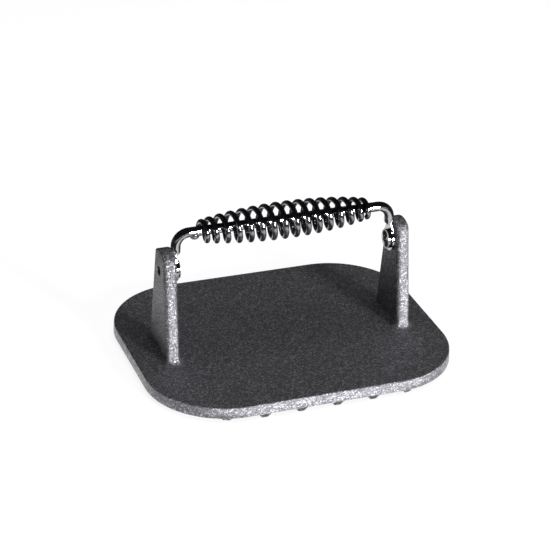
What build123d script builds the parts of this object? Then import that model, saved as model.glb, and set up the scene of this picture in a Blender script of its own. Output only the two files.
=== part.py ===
from build123d import *
from math import cos, hypot, pi, sin, sqrt
import os

# Grill press: a ribbed iron casting with two posts, and a bent rod handle that carries a barrel-shaped wire grip.
# Millimetres. The origin is the middle of the footprint at the crests of the ribs, which rest on the food or the
# grill. X runs along the handle, Y from front to back and Z up.

# Plate
plate_length = 203.2
plate_width = 165.1
plate_corner_radius = 50.8
plate_thickness = 7.0
plate_side_draft = 2.0
plate_edge_round = 0.9

# Ribs under the plate, front to back, with flat crests
rib_count = 8
rib_pitch = 24.0
rib_row_offset = -3.75
rib_height = 3.0
rib_base_width = 8.4
rib_side_angle = 52.0
rib_crest_round = 0.9
rib_side_margin = 4.6
rib_end_margin = 0.4
rib_end_corner_radius = 52.0
rib_end_draft = 18.0

# Posts, cast with the plate: rounded columns, cut off by an arch that is concentric with the pivot
pivot_height = 57.2
post_clear_width = 148.6
post_thickness = 8.7
post_face_draft = 0.5
post_arch_radius = 14.3
post_arch_chord = 21.4
post_arch_round = 1.2
post_foot_width = 39.2
post_corner_radius = 3.4
post_root_depth = 4.0
post_foot_round = 3.6

# Handle rod: bent down at both ends, where it is pressed to a blade with a round eye. The press leaves a step on
# the side of the post and a ramp on the side of the hand.
rod_diameter = 6.35
bend_radius = 8.4
leg_straight_run = 1.2
leg_overhang = 1.1
step_gap_to_arch = 0.3
ramp_drop = 2.0
ramp_height = 2.3
eye_thickness = 1.8
eye_diameter = 15.9
neck_root_width = 11.0
neck_round = 4.0
neck_inset = 0.08
blade_run_into_rod = 1.5
pivot_clearance = 0.08
clamp_clearance = 0.05

# Ear under the rod that keeps the grip off the left bend, pushed out by a punch mark on each side
ear_length = 6.2
ear_radius = 2.6
ear_drop = 2.2
ear_gap_to_grip = 0.2
punch_radius = 1.3
punch_depth = 0.6
punch_drop = 1.3

# Screws
screw_diameter = 6.3
screw_end_recess = 2.6
thread_clearance = 0.03
head_diameter = 12.6
head_rim = 1.8
head_dome = 2.2
cross_length = 6.4
cross_width = 1.5
cross_depth = 2.2
cross_taper = 12.0

# Grip: one wire wound as a barrel coil, which hangs on the rod by its end turns
wire_diameter = 3.5
grip_turns = 15.69
grip_length = 114.5
grip_hang = 0.34
grip_middle_diameter = 24.3
grip_running_clearance = 0.1
grip_left_end_slack = 0.4
grip_barrel_power = 0.88
grip_end_closing = 0.63
grip_closing_power = 9
grip_start_angle = -96.0
steps_per_turn = 2

# Heights and places that follow from the sizes above
plate_top = rib_height + plate_thickness
pivot_z = plate_top + pivot_height
step_z = pivot_z + post_arch_radius + step_gap_to_arch
ramp_top_z = step_z - ramp_drop
rod_end_z = ramp_top_z - ramp_height
handle_z = step_z + leg_straight_run + bend_radius
grip_z = handle_z - grip_hang
post_inner = post_clear_width / 2
post_middle = post_inner + post_thickness / 2
rod_radius = rod_diameter / 2
leg_x = post_inner + leg_overhang - rod_radius
eye_outer = post_inner - clamp_clearance
eye_inner = eye_outer - eye_thickness
head_seat = eye_inner - clamp_clearance
screw_end = post_inner + post_thickness - screw_end_recess
grip_right_bore = rod_radius + grip_hang + grip_running_clearance
grip_left_bore = grip_right_bore + grip_left_end_slack
ear_axis_drop = rod_radius + ear_drop - ear_radius


# Casting: plate, ribs and posts
with BuildPart() as ribs:
    with BuildSketch(Plane.XZ):
        with Locations((rib_row_offset, rib_height / 2)):
            with GridLocations(rib_pitch, rib_height, rib_count, 1):
                Trapezoid(rib_base_width, rib_height, rib_side_angle, rotation=180)
    extrude(amount=plate_width / 2, both=True)
    crest_edges = ribs.edges().filter_by(Axis.Y).group_by(Axis.Z)[0]
    fillet(crest_edges, rib_crest_round)
    with BuildSketch(Plane.XY.offset(rib_height)):
        RectangleRounded(
            plate_length - 2 * rib_side_margin,
            plate_width - 2 * rib_end_margin,
            rib_end_corner_radius,
        )
    extrude(amount=-rib_height, taper=rib_end_draft, mode=Mode.INTERSECT)

with BuildPart() as post:
    # A column with well rounded corners that narrows upwards. Its inner face is upright, where the handle is
    # clamped, and it starts inside the plate.
    crease_half = post_arch_chord / 2
    crease_z = pivot_z + sqrt(post_arch_radius**2 - crease_half**2)
    side_slope = (post_foot_width / 2 - crease_half) / (crease_z - plate_top)
    face_slope = post_face_draft / pivot_height
    root_z = plate_top - post_root_depth
    for level in (root_z, pivot_z + 1.1 * post_arch_radius):
        half_width = crease_half + side_slope * (crease_z - level)
        thickness = post_thickness + face_slope * (pivot_z - level)
        with BuildSketch(Plane.XY.offset(level)):
            with Locations((post_inner + thickness / 2, 0)):
                RectangleRounded(thickness, 2 * half_width, post_corner_radius)
    loft(ruled=True)
    # The arch over the pivot cuts the column and leaves a crease across its front and back
    with BuildSketch(Plane.YZ):
        with Locations((0, pivot_z)):
            Circle(post_arch_radius)
        with Locations((0, (root_z + pivot_z) / 2)):
            Rectangle(2 * post_foot_width, pivot_z - root_z)
    extrude(amount=plate_length, mode=Mode.INTERSECT)
    arch_face = post.faces().filter_by(GeomType.CYLINDER).sort_by(Axis.Z)[-1]
    fillet(arch_face.edges(), post_arch_round)

with BuildPart() as press_casting:
    with BuildSketch(Plane.XY.offset(rib_height)):
        RectangleRounded(plate_length, plate_width, plate_corner_radius)
    extrude(amount=plate_thickness, taper=plate_side_draft)
    fillet(press_casting.faces().sort_by(Axis.Z)[-1].edges(), plate_edge_round)
    add(ribs.part)
    add(post.part)
    add(mirror(post.part, about=Plane.YZ, mode=Mode.PRIVATE))
    foot_edges = [
        e
        for e in press_casting.edges()
        if abs(e.center().Z - plate_top) < 0.01
        and abs(e.center().Y) < post_foot_width
        and abs(abs(e.center().X) - post_middle) < post_thickness
    ]
    fillet(foot_edges, post_foot_round)
    with Locations(Plane.YZ.offset(-plate_length / 2) * Location((0, pivot_z, 0))):
        Hole(screw_diameter / 2 + thread_clearance, depth=2 * plate_length)
press_casting.part.label = "press_casting"


# Handle rod
with BuildPart() as handle_rod:
    with BuildLine(Plane.XZ) as rod_path:
        FilletPolyline(
            (-leg_x, rod_end_z), (-leg_x, handle_z), (leg_x, handle_z), (leg_x, rod_end_z), radius=bend_radius
        )
    with BuildSketch(Plane((-leg_x, 0, rod_end_z))):
        Circle(rod_radius)
    sweep(path=rod_path.line)
    # What the press takes from both ends: the step beside the post, and the ramp down to the blade
    beyond = leg_x + rod_diameter
    within = leg_x - rod_diameter
    ramp_slope = ramp_height / (eye_inner - leg_x + rod_radius)
    with BuildSketch(Plane.XZ):
        with BuildLine():
            Polyline(
                (eye_outer, rod_end_z), (eye_outer, step_z), (beyond, step_z), (beyond, rod_end_z), close=True
            )
        make_face()
        with BuildLine():
            ramp_start_z = rod_end_z + ramp_slope * (eye_inner - within)
            Polyline((eye_inner, rod_end_z), (within, ramp_start_z), (within, rod_end_z), close=True)
        make_face()
        mirror(about=Plane.YZ)
    extrude(amount=rod_diameter, both=True, mode=Mode.SUBTRACT)
    # The ear is an egg of metal below the rod. It reaches the grip's bore this far to each side of its middle.
    bore_below_ear_axis = grip_hang + grip_left_bore - ear_axis_drop
    ear_reach = ear_length / 2 * sqrt(1 - (bore_below_ear_axis / ear_radius) ** 2)
    ear_x = -grip_length / 2 - ear_gap_to_grip - ear_reach
    ear_axis_z = handle_z - ear_axis_drop
    with BuildSketch(Plane((ear_x, 0, ear_axis_z), x_dir=(1, 0, 0), z_dir=(0, -1, 0))):
        Ellipse(ear_length / 2, ear_radius)
        with Locations((0, -ear_radius)):
            Rectangle(2 * ear_length, 2 * ear_radius, mode=Mode.SUBTRACT)
    revolve(axis=Axis((ear_x, 0, ear_axis_z), (1, 0, 0)))
    punch_z = handle_z - punch_drop
    punch_y = sqrt(rod_radius**2 - punch_drop**2) + punch_radius - punch_depth
    with Locations((ear_x, punch_y, punch_z), (ear_x, -punch_y, punch_z)):
        Sphere(punch_radius, mode=Mode.SUBTRACT)
    # Both ends: the round eye, and a neck that narrows until its corners lie inside the rod
    eye_radius = eye_diameter / 2
    neck_root_half = neck_root_width / 2
    neck_root_z = pivot_z + sqrt(eye_radius**2 - neck_root_half**2)
    neck_half = sqrt(rod_radius**2 - (eye_outer - leg_x) ** 2) - neck_inset
    blade_top = step_z + blade_run_into_rod
    for side in (-1, 1):
        with BuildSketch(Plane.YZ.offset(side * (eye_inner + eye_outer) / 2)) as blade:
            with Locations((0, pivot_z)):
                Circle(eye_radius)
            with BuildLine():
                Polyline((-neck_root_half, neck_root_z), (-neck_half, step_z), (-neck_half, blade_top))
                Polyline((-neck_half, blade_top), (neck_half, blade_top), (neck_half, step_z))
                Polyline((neck_half, step_z), (neck_root_half, neck_root_z), (-neck_root_half, neck_root_z))
            make_face()
            fillet([v for v in blade.vertices() if abs(v.Y - neck_root_z) < 0.01], neck_round)
            with Locations((0, pivot_z)):
                Circle(screw_diameter / 2 + pivot_clearance, mode=Mode.SUBTRACT)
        extrude(amount=eye_thickness / 2, both=True)
handle_rod.part.label = "handle_rod"


# Grip coil
def grip_point(turn):
    # The wire's centre after this many turns: closer turns at both ends, and a barrel that swells in the middle
    share = 2 * turn / grip_turns - 1
    closing = share - grip_end_closing * share**grip_closing_power / grip_closing_power
    position = closing / (1 - grip_end_closing / grip_closing_power)
    end_bore = grip_left_bore + (grip_right_bore - grip_left_bore) * (position + 1) / 2
    end_radius = end_bore + wire_diameter / 2
    middle_radius = (grip_middle_diameter - wire_diameter) / 2
    swell = max(1 - position**2, 0) ** grip_barrel_power
    radius = end_radius + (middle_radius - end_radius) * swell
    angle = 2 * pi * turn + grip_start_angle * pi / 180
    x = position * (grip_length - wire_diameter) / 2
    return Vector(x, -radius * sin(angle), grip_z + radius * cos(angle))


def grip_heading(turn):
    # Direction of the wire, from two points close to this one and inside the coil
    before = max(turn - 0.01, 0)
    after = min(turn + 0.01, grip_turns)
    return (grip_point(after) - grip_point(before)).normalized()


grip_steps = round(grip_turns * steps_per_turn)
with BuildPart() as spring_grip:
    with BuildLine() as wire_path:
        for step in range(grip_steps):
            start = grip_point(grip_turns * step / grip_steps)
            end = grip_point(grip_turns * (step + 1) / grip_steps)
            heading_in = grip_heading(grip_turns * step / grip_steps)
            heading_out = grip_heading(grip_turns * (step + 1) / grip_steps)
            # Two arcs that meet with one tangent, at equal distances from both ends
            chord = end - start
            both = heading_in + heading_out
            spread = 2 * (1 - heading_in.dot(heading_out))
            lean = chord.dot(both)
            reach = (sqrt(lean**2 + spread * chord.dot(chord)) - lean) / spread
            corner_in = start + heading_in * reach
            corner_out = end - heading_out * reach
            joint = (corner_in + corner_out) / 2
            TangentArc(start, joint, tangent=heading_in)
            TangentArc(joint, end, tangent=corner_out - corner_in)
    with BuildSketch(Plane(grip_point(0), z_dir=grip_heading(0))):
        Circle(wire_diameter / 2)
    sweep(path=wire_path.line)
spring_grip.part.label = "spring_grip"

# Least gap of the coil to itself: points on the wire's line that are more than half a turn apart along it
wire_edges = wire_path.line.edges()
line_points = [e.position_at(k / 6) for e in wire_edges for k in range(6)]
points_per_turn = len(line_points) / grip_turns
skip = int(0.6 * points_per_turn)
least_distance = min(
    (line_points[i] - line_points[j]).length
    for i in range(len(line_points))
    for j in range(i + skip, min(i + 3 * skip, len(line_points)))
)
rod_distance = min(hypot(p.Y, p.Z - handle_z) for p in line_points)
print("spring_grip: least gap to itself", round(least_distance - wire_diameter, 2), "mm")
print("spring_grip: tightest arc", round(min(e.radius for e in wire_edges), 2), "mm")
print("spring_grip: gap to the rod", round(rod_distance - wire_diameter / 2 - rod_radius, 3), "mm")


# Screws, one at each post
def make_screw(side):
    with BuildPart() as screw:
        with BuildSketch(Plane((0, 0, pivot_z), x_dir=(1, 0, 0), z_dir=(0, -1, 0))):
            with BuildLine():
                rim_top = head_seat - head_rim
                dome_top = rim_top - head_dome
                head_half = head_diameter / 2
                shank_half = screw_diameter / 2
                Line((dome_top, 0), (screw_end, 0))
                Polyline((screw_end, 0), (screw_end, shank_half), (head_seat, shank_half))
                Polyline((head_seat, shank_half), (head_seat, head_half), (rim_top, head_half))
                # Dome arc that leaves the crown square to the screw's axis
                dome_radius = (head_half**2 + head_dome**2) / (2 * head_dome)
                RadiusArc((rim_top, head_half), (dome_top, 0), dome_radius)
            make_face()
        revolve(axis=Axis((0, 0, pivot_z), (1, 0, 0)))
        with BuildSketch(Plane((dome_top, 0, pivot_z), x_dir=(0, 1, 0), z_dir=(1, 0, 0))):
            Rectangle(cross_length, cross_width)
            Rectangle(cross_width, cross_length)
        extrude(amount=cross_depth, taper=cross_taper, mode=Mode.SUBTRACT)
    return screw.part if side > 0 else mirror(screw.part, about=Plane.YZ)


os.makedirs("parts", exist_ok=True)
for side, word in ((-1, "left"), (1, "right")):
    screw = make_screw(side)
    screw.label = "screw_" + word
    export_step(screw, "parts/screw_" + word + ".step")
export_step(press_casting.part, "parts/press_casting.step")
export_step(handle_rod.part, "parts/handle_rod.step")
export_step(spring_grip.part, "parts/spring_grip.step")
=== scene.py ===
from math import cos, pi, radians, sin

import bmesh
import bpy
import numpy as np
from mathutils import Matrix, Vector


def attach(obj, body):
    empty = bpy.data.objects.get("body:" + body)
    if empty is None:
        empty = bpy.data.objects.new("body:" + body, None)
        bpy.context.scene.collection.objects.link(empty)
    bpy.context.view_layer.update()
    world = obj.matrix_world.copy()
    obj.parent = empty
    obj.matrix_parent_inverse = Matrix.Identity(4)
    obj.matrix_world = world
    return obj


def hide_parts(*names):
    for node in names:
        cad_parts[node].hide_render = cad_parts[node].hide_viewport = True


# Grill press: a cast iron plate with two posts, and a plated rod handle in a black wire grip.
# Metres. The CAD model is the frame: X along the handle, Y from front to back, Z up from the rib crests.

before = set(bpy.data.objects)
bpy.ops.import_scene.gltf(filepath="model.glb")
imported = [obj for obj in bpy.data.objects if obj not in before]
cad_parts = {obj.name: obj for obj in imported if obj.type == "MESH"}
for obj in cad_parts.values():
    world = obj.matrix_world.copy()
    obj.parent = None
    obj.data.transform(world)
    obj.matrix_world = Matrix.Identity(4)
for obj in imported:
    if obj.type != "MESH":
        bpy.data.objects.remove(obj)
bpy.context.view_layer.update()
millimetre = 0.001
print("frame loaded:", sorted(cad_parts))


def hexColor(text):
    # sRGB hex to linear RGBA
    parts = [int(text[i:i + 2], 16) / 255 for i in (1, 3, 5)]
    return tuple(c / 12.92 if c <= 0.04045 else ((c + 0.055) / 1.055) ** 2.4 for c in parts) + (1.0,)


def addNode(tree, kind, inputs=None, **settings):
    # Adds one node. An input is a plain value, or the output socket that feeds it
    node = tree.nodes.new(kind)
    for name, value in settings.items():
        setattr(node, name, value)
    for name, value in (inputs or {}).items():
        socket = node.inputs[name]
        if isinstance(value, bpy.types.NodeSocket):
            tree.links.new(value, socket)
        else:
            socket.default_value = value
    return node


def newMaterial(name):
    material = bpy.data.materials.new(name)
    material.use_nodes = True
    material.node_tree.nodes.clear()
    return material, material.node_tree


def addObject(name, data):
    item = bpy.data.objects.new(name, data)
    bpy.context.scene.collection.objects.link(item)
    return item


# The stage: a white floor, dark cards that only shiny things see, and the light from all round
stage = {
    "floorSize": 14.0,
    "floorColor": "#f2f2f2",
    "floorGlow": 0.84,      # added to the floor where the camera or a shiny thing sees it
    "floorLitColor": "#747474",  # the share of lamp light, and so of shadow, in what they see
    "horizonColor": "#8a8a8c",
    "zenithColor": "#1c1c1e",
    "bandTop": 7.0,         # the light band above the horizon is even up to here, in degrees
    "darkFrom": 14.0,       # and has faded to the dark ceiling here
    "dimColor": "#0e0e10",  # what matt surfaces get from all round
    "cardColor": "#2c2c2e",
    "cardReach": 1.2,
    "cardLift": 0.0002,     # the cards lie this far above the floor
    "cardNear": 0.17,       # half the width of bare floor between the side cards
    "cardBack": 0.15,       # the back card begins this far behind the middle
    "windowLeft": -0.10,    # the window of bare floor in front
    "windowRight": 0.22,
    "windowBack": -0.09,
    "windowFront": -0.26,
    "wallOpening": 50,      # degrees to each side of the front
    "wallHeight": 0.30,
    "wallPanels": 24,
}


def buildFloor():
    half = stage["floorSize"] / 2
    corners = [(-half, -half, 0), (half, -half, 0), (half, half, 0), (-half, half, 0)]
    mesh = bpy.data.meshes.new("floor")
    mesh.from_pydata(corners, [], [(0, 1, 2, 3)])
    floor = addObject("floor", mesh)
    # Painted board: a white that keeps the shadow. Camera, glossy and transmitted rays see it glow
    material, tree = newMaterial("white_board")
    plain = addNode(tree, "ShaderNodeBsdfDiffuse", {"Color": hexColor(stage["floorColor"])})
    lit = addNode(tree, "ShaderNodeBsdfDiffuse", {"Color": hexColor(stage["floorLitColor"])})
    glow = addNode(tree, "ShaderNodeEmission", {"Strength": stage["floorGlow"]})
    seen = addNode(tree, "ShaderNodeAddShader", {0: lit.outputs[0], 1: glow.outputs[0]})
    path = addNode(tree, "ShaderNodeLightPath").outputs
    shiny = addNode(tree, "ShaderNodeMath", {0: path["Is Camera Ray"], 1: path["Is Glossy Ray"]},
                    operation="MAXIMUM")
    shown = addNode(tree, "ShaderNodeMath", {0: shiny.outputs[0], 1: path["Is Transmission Ray"]},
                    operation="MAXIMUM")
    mix = addNode(tree, "ShaderNodeMixShader",
                  {0: shown.outputs[0], 1: plain.outputs[0], 2: seen.outputs[0]})
    addNode(tree, "ShaderNodeOutputMaterial", {"Surface": mix.outputs[0]})
    mesh.materials.append(material)


def buildCards():
    # Dark cards on the floor that only shiny things see, a painted dark reflection: they give the plating its
    # black sides. They leave bare floor close to the press and in a window before it. A bent wall stands round
    # them, open to the front
    reach, near, rear, lift = (stage["card" + k] for k in ("Reach", "Near", "Back", "Lift"))
    left, right, inner, outer = (stage["window" + k] for k in ("Left", "Right", "Back", "Front"))
    flats = [(-reach, inner, -near, reach), (near, inner, reach, reach), (-near, rear, near, reach)]
    flats += [(-reach, outer, left, inner), (right, outer, reach, inner), (-reach, -reach, reach, outer)]
    points = [(x, y, lift) for a, b, c, d in flats for x, y in ((a, b), (c, b), (c, d), (a, d))]
    faces = [(k, k + 1, k + 2, k + 3) for k in range(0, len(points), 4)]
    opening, panels = stage["wallOpening"], stage["wallPanels"]
    bends = np.radians(np.linspace(opening, 360 - opening, panels + 1))
    first = len(points)
    points += [(reach * sin(a), -reach * cos(a), z) for a in bends for z in (lift, stage["wallHeight"])]
    faces += [(k, k + 2, k + 3, k + 1) for k in range(first, first + 2 * panels, 2)]
    mesh = bpy.data.meshes.new("dark_card")
    mesh.from_pydata(points, [], faces)
    card = addObject("dark_card", mesh)
    # A matt dark grey without a shine of its own, seen only in reflections: a painted dark reflection
    material, tree = newMaterial("painted_dark_reflection")
    darkReflection = addNode(tree, "ShaderNodeBsdfDiffuse", {"Color": hexColor(stage["cardColor"])})
    addNode(tree, "ShaderNodeOutputMaterial", {"Surface": darkReflection.outputs[0]})
    mesh.materials.append(material)
    card.visible_camera = card.visible_diffuse = card.visible_shadow = card.visible_transmission = False


def buildWorld():
    world = bpy.data.worlds.new("studio")
    bpy.context.scene.world = world
    world.use_nodes = True
    tree = world.node_tree
    tree.nodes.clear()
    place = addNode(tree, "ShaderNodeTexCoord")
    split = addNode(tree, "ShaderNodeSeparateXYZ", {0: place.outputs["Generated"]})
    ramp = addNode(tree, "ShaderNodeValToRGB", {0: split.outputs["Z"]})
    stops = ramp.color_ramp.elements
    stops[0].position = sin(radians(stage["bandTop"]))
    stops[0].color = hexColor(stage["horizonColor"])
    stops[1].position = sin(radians(stage["darkFrom"]))
    stops[1].color = hexColor(stage["zenithColor"])
    # Shiny things see a grey horizon under a dark ceiling, the camera sees white, and matt surfaces get a
    # dim light
    shiny = addNode(tree, "ShaderNodeBackground", {"Color": ramp.outputs["Color"]})
    dim = addNode(tree, "ShaderNodeBackground", {"Color": hexColor(stage["dimColor"])})
    white = addNode(tree, "ShaderNodeBackground", {"Color": (1, 1, 1, 1)})
    path = addNode(tree, "ShaderNodeLightPath").outputs
    direct = addNode(tree, "ShaderNodeMath", {0: path["Is Camera Ray"], 1: path["Is Transmission Ray"]},
                     operation="MAXIMUM")
    around = addNode(tree, "ShaderNodeMixShader",
                     {0: path["Is Glossy Ray"], 1: dim.outputs[0], 2: shiny.outputs[0]})
    shown = addNode(tree, "ShaderNodeMixShader",
                    {0: direct.outputs[0], 1: around.outputs[0], 2: white.outputs[0]})
    addNode(tree, "ShaderNodeOutputWorld", {"Surface": shown.outputs[0]})


# The lamps: azimuth runs from the front towards the right, both angles are in degrees, sizes in metres
lamps = {
    "key": {"azimuth": 19.5, "elevation": 10, "distance": 2.2, "width": 0.36, "height": 0.76,
            "power": 104},
    "ceiling": {"azimuth": 0, "elevation": 88, "distance": 2.0, "width": 1.6, "height": 1.6,
                "power": 39, "gloss": False},  # shiny things don't see it
}
lampAim = (0, 0, 0.04)  # about half the height of the press


def buildLamps():
    target = Vector(lampAim)
    for name, lamp in lamps.items():
        light = bpy.data.lights.new(name, "AREA")
        light.shape = "RECTANGLE"
        light.size = lamp["width"]
        light.size_y = lamp["height"]
        light.energy = lamp["power"]
        turn, rise = radians(lamp["azimuth"]), radians(lamp["elevation"])
        toLamp = Vector((sin(turn) * cos(rise), -cos(turn) * cos(rise), sin(rise)))
        facing = toLamp.to_track_quat("Z", "Y").to_matrix().to_4x4()
        item = addObject(name, light)
        item.matrix_world = Matrix.Translation(target + toLamp * lamp["distance"]) @ facing
        item.visible_glossy = lamp.get("gloss", True)


# The camera, as fitted to the photograph
cameraView = {
    "azimuth": -21.05,      # degrees, 0 looks along +Y
    "elevation": 28.08,
    "roll": 1.97,
    "distance": 1.420,
    "target": (0.02321, 0.07381, 0.010),
    "lens": 135.88,         # mm, on a sensor of this width
    "sensor": 36,
    "farClip": 50,
}


def buildCamera():
    turn, rise, roll = (radians(cameraView[k]) for k in ("azimuth", "elevation", "roll"))
    back = Vector((sin(turn) * cos(rise), -cos(turn) * cos(rise), sin(rise)))
    right = (-back).cross(Vector((0, 0, 1))).normalized()
    up = right.cross(-back)
    rolledRight = cos(roll) * right + sin(roll) * up
    rolledUp = cos(roll) * up - sin(roll) * right
    lens = bpy.data.cameras.new("camera")
    lens.sensor_width = cameraView["sensor"]
    lens.lens = cameraView["lens"]
    lens.clip_end = cameraView["farClip"]
    camera = addObject("camera", lens)
    turned = Matrix((rolledRight, rolledUp, back)).transposed().to_4x4()
    stand = Vector(cameraView["target"]) + back * cameraView["distance"]
    camera.matrix_world = Matrix.Translation(stand) @ turned
    bpy.context.scene.camera = camera


buildFloor()
buildCards()
buildWorld()
buildLamps()
buildCamera()
bpy.context.scene.view_settings.view_transform = "Standard"
print("stage, lamps and camera ready")


# How the CAD meshes are dressed
dressing = {
    "mergeDistance": 2e-6,  # points closer than this are one
    "sharpAngle": 30,       # degrees, edges sharper than this stay sharp
    "normalWeight": 60,     # how far large faces lead the shading
}


def mergedCopy(nodeName, pieceName):
    # A CAD node is loose triangles, so its copy is merged, shaded smooth and split only at real corners
    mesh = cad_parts[nodeName].data.copy()
    mesh.name = pieceName
    work = bmesh.new()
    work.from_mesh(mesh)
    bmesh.ops.remove_doubles(work, verts=work.verts, dist=dressing["mergeDistance"])
    work.to_mesh(mesh)
    work.free()
    mesh.materials.clear()
    mesh.shade_smooth()
    mesh.set_sharp_from_angle(angle=radians(dressing["sharpAngle"]))
    piece = addObject(pieceName, mesh)
    evenOut = piece.modifiers.new("even_out", "WEIGHTED_NORMAL")
    evenOut.keep_sharp = True
    evenOut.weight = dressing["normalWeight"]
    return piece


def platedMetal(name, finish):
    # A plated metal: a mirror that the faint unevenness of its plating bends a little
    material, tree = newMaterial(name)
    place = addNode(tree, "ShaderNodeTexCoord").outputs["Object"]
    waves = addNode(tree, "ShaderNodeTexNoise",
                    {"Vector": place, "Scale": finish["wavesPerMetre"], "Detail": finish["waveDetail"]})
    bump = addNode(tree, "ShaderNodeBump",
                   {"Height": waves.outputs[0], "Distance": finish["waveDepth"] * millimetre})
    shader = addNode(tree, "ShaderNodeBsdfPrincipled",
                     {"Base Color": hexColor(finish["color"]), "Metallic": 1.0,
                      "Roughness": finish["roughness"], "Normal": bump.outputs[0]})
    addNode(tree, "ShaderNodeOutputMaterial", {"Surface": shader.outputs[0]})
    return material


# The casting
casting = {
    "color": "#6c6b70",
    # painted glints: random grains drawn in this lighter colour stand in for sparkle
    "paintedGlintColor": "#cbcacf",
    "metallic": 0.85,
    "roughness": 0.4,
    "grain": 0.72,          # sand grain in mm, drawn coarse so that it shows
    "grainDepth": 0.38,     # mm
    "paintedGlintPower": 4.0,        # the higher, the fewer grains get the painted glint colour
    "swell": 9.0,           # slow unevenness of the mould in mm
    "swellDetail": 2.0,
    "swellDepth": 0.1,      # mm
}


def castIron():
    # Cast iron from a green sand mould, oiled: dark grey metal with an even sandy grain that glints where it
    # faces a light.
    # Random grains are also painted lighter, a painted glint that stays the same under any light
    material, tree = newMaterial("sand_cast_iron")
    place = addNode(tree, "ShaderNodeTexCoord").outputs["Object"]
    grain = addNode(tree, "ShaderNodeTexVoronoi",
                    {"Vector": place, "Scale": 1000 / casting["grain"]}, feature="F1")
    swell = addNode(tree, "ShaderNodeTexNoise",
                    {"Vector": place, "Scale": 1000 / casting["swell"], "Detail": casting["swellDetail"]})
    shade = addNode(tree, "ShaderNodeSeparateColor", {0: grain.outputs["Color"]})
    # painted glints: the highest random grain values take the lighter colour, whatever the light
    paintedGlintMask = addNode(tree, "ShaderNodeMath", {0: shade.outputs[0], 1: casting["paintedGlintPower"]},
                   operation="POWER")
    color = addNode(tree, "ShaderNodeMix",
                    {"Factor": paintedGlintMask.outputs[0], "A": hexColor(casting["color"]),
                     "B": hexColor(casting["paintedGlintColor"])}, data_type="RGBA")
    slow = addNode(tree, "ShaderNodeBump",
                   {"Height": swell.outputs[0], "Distance": casting["swellDepth"] * millimetre})
    bump = addNode(tree, "ShaderNodeBump",
                   {"Height": grain.outputs["Distance"], "Normal": slow.outputs[0],
                    "Distance": casting["grainDepth"] * millimetre}, invert=True)
    shader = addNode(tree, "ShaderNodeBsdfPrincipled",
                     {"Base Color": color.outputs["Result"], "Metallic": casting["metallic"],
                      "Roughness": casting["roughness"], "Normal": bump.outputs[0]})
    addNode(tree, "ShaderNodeOutputMaterial", {"Surface": shader.outputs[0]})
    return material


plate = mergedCopy("press_casting", "casting")
plate.data.materials.append(castIron())
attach(plate, "press")
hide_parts("press_casting")
print("casting:", len(plate.data.polygons), "faces")


# The handle rod
rod = {
    "color": "#b2b2b4",
    "roughness": 0.02,
    "wavesPerMetre": 220.0,  # waves of about 4.5 mm
    "waveDetail": 2.0,
    "waveDepth": 0.01,      # mm
}

handle = mergedCopy("handle_rod", "rod")
# Nickel-chrome on drawn steel rod: a bright mirror with faint slow waves
handle.data.materials.append(platedMetal("bright_chrome", rod))
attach(handle, "handle")
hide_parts("handle_rod")
print("rod:", len(handle.data.polygons), "faces")


# The wire grip, in mm as the CAD coil has it
grip = {
    "wire": 3.5,
    "turns": 15.69,
    "length": 114.5,
    "axisHeight": 91.06,
    "middleDiameter": 24.3,
    "leftBore": 4.015,      # radius of the hole through the end turns
    "rightBore": 3.615,
    "barrelPower": 0.88,
    "endClosing": 0.63,
    "closingPower": 9,
    "startAngle": -96.0,
    "ringsPerTurn": 60,
    "ringPoints": 20,
    "cutRound": 0.35,       # rounding of the cut wire ends
    "capRings": 5,          # rings round that rounding
    "capCentre": 0.5,       # radius of the ring in the flat of a cut end, as a share of the flat
    "color": "#949498",
    "roughness": 0.03,
    "wavesPerMetre": 700.0,  # waves of about 1.4 mm
    "waveDetail": 1.0,
    "waveDepth": 0.012,
}


def gripLine(turn):
    # The wire's centre: turns closer at both ends, a radius that swells like a barrel, and an angle of one
    # turn per turn
    share = 2 * turn / grip["turns"] - 1
    closing = share - grip["endClosing"] * share ** grip["closingPower"] / grip["closingPower"]
    position = closing / (1 - grip["endClosing"] / grip["closingPower"])
    bore = grip["leftBore"] + (grip["rightBore"] - grip["leftBore"]) * (position + 1) / 2
    endRadius = bore + grip["wire"] / 2
    middleRadius = (grip["middleDiameter"] - grip["wire"]) / 2
    swelling = np.maximum(1 - position ** 2, 0) ** grip["barrelPower"]
    radius = endRadius + (middleRadius - endRadius) * swelling
    angle = 2 * pi * turn + radians(grip["startAngle"])
    x = position * (grip["length"] - grip["wire"]) / 2
    return np.stack([x, -radius * np.sin(angle), grip["axisHeight"] + radius * np.cos(angle)], axis=-1)


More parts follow.
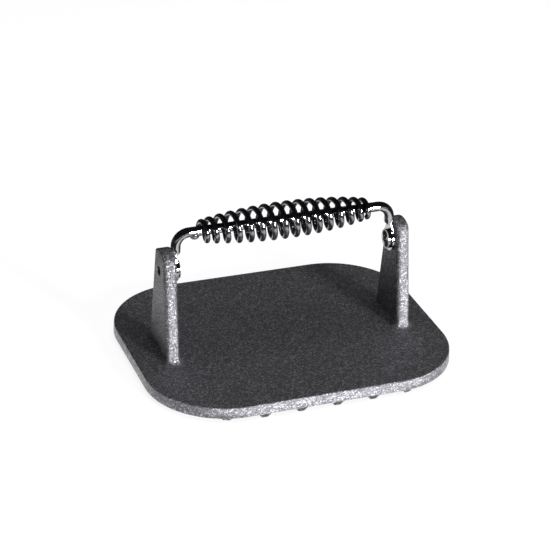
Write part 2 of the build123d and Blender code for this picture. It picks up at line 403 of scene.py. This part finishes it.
def buildGrip():
    # A round wire carried along the coil's line: point = centre + radius * (cos v * outward + sin v * across).
    # At both cut ends the radius falls over a small quarter round to a flat disc with a middle point, so the
    # ends are closed
    wireRadius = grip["wire"] / 2
    rings = round(grip["turns"] * grip["ringsPerTurn"])
    centre = gripLine(np.linspace(0, grip["turns"], rings))
    along = np.gradient(centre, axis=0)
    along /= np.linalg.norm(along, axis=1, keepdims=True)
    axis = np.stack([centre[:, 0], np.zeros(rings), np.full(rings, grip["axisHeight"])], axis=-1)
    outward = centre - axis
    outward -= np.sum(outward * along, axis=1, keepdims=True) * along
    outward /= np.linalg.norm(outward, axis=1, keepdims=True)
    across = np.cross(along, outward)

    # Each cap: the rings of the quarter round, then one ring in the flat
    cut = grip["cutRound"]
    quarter = np.linspace(0, pi / 2, grip["capRings"] + 1)[1:]
    capIn = cut * np.sin(quarter)
    capRadius = wireRadius - cut * (1 - np.cos(quarter))
    capRadius = np.append(capRadius, grip["capCentre"] * capRadius[-1])
    capIn = np.append(capIn, capIn[-1])
    capSize = len(capIn)
    index = np.concatenate([np.zeros(capSize, int), np.arange(rings), np.full(capSize, rings - 1)])
    shift = np.concatenate([cut - capIn[::-1], np.zeros(rings), capIn - cut])
    shift[capSize] = cut
    shift[-capSize - 1] = -cut
    radius = np.concatenate([capRadius[::-1], np.full(rings, wireRadius), capRadius])

    spin = np.linspace(0, 2 * pi, grip["ringPoints"], endpoint=False)[None, :, None]
    middle = centre[index] + shift[:, None] * along[index]
    ring = np.cos(spin) * outward[index][:, None, :] + np.sin(spin) * across[index][:, None, :]
    points = (middle[:, None, :] + radius[:, None, None] * ring).reshape(-1, 3)
    count, around = len(index), grip["ringPoints"]
    row = np.arange(count - 1)[:, None] * around
    col = np.arange(around)[None, :]
    nextCol = (col + 1) % around
    corners = [row + col, row + nextCol, row + around + nextCol, row + around + col]
    quads = np.stack(corners, axis=-1).reshape(-1, 4)
    startPole = len(points)
    endPole = startPole + 1
    points = np.vstack([points, middle[0], middle[-1]])
    last = (count - 1) * around
    caps = [(startPole, (k + 1) % around, k) for k in range(around)]
    caps += [(endPole, last + k, last + (k + 1) % around) for k in range(around)]
    mesh = bpy.data.meshes.new("grip_coil")
    mesh.from_pydata((points * millimetre).tolist(), [], quads.tolist() + caps)
    mesh.shade_smooth()
    return addObject("grip_coil", mesh)


coil = buildGrip()
# Black nickel on spring steel: a dark mirror that looks black where nothing bright stands before it
coil.data.materials.append(platedMetal("black_nickel", grip))
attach(coil, "grip")
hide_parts("spring_grip")
print("grip coil:", len(coil.data.polygons), "faces")


# The screws
screw = {
    "color": "#a2a3a1",
    "roughness": 0.1,
    "wavesPerMetre": 900.0,  # waves of about 1.1 mm
    "waveDetail": 2.0,
    "waveDepth": 0.02,      # mm
}

# Bright zinc on a headed screw: a slightly greenish grey with softer reflections than the rod's
screwFinish = platedMetal("bright_zinc", screw)
for nodeName, pieceName in (("screw_left", "pivot_screw_left"), ("screw_right", "pivot_screw_right")):
    pivotScrew = mergedCopy(nodeName, pieceName)
    pivotScrew.data.materials.append(screwFinish)
    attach(pivotScrew, "press")
    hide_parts(nodeName)
print("screws ready")
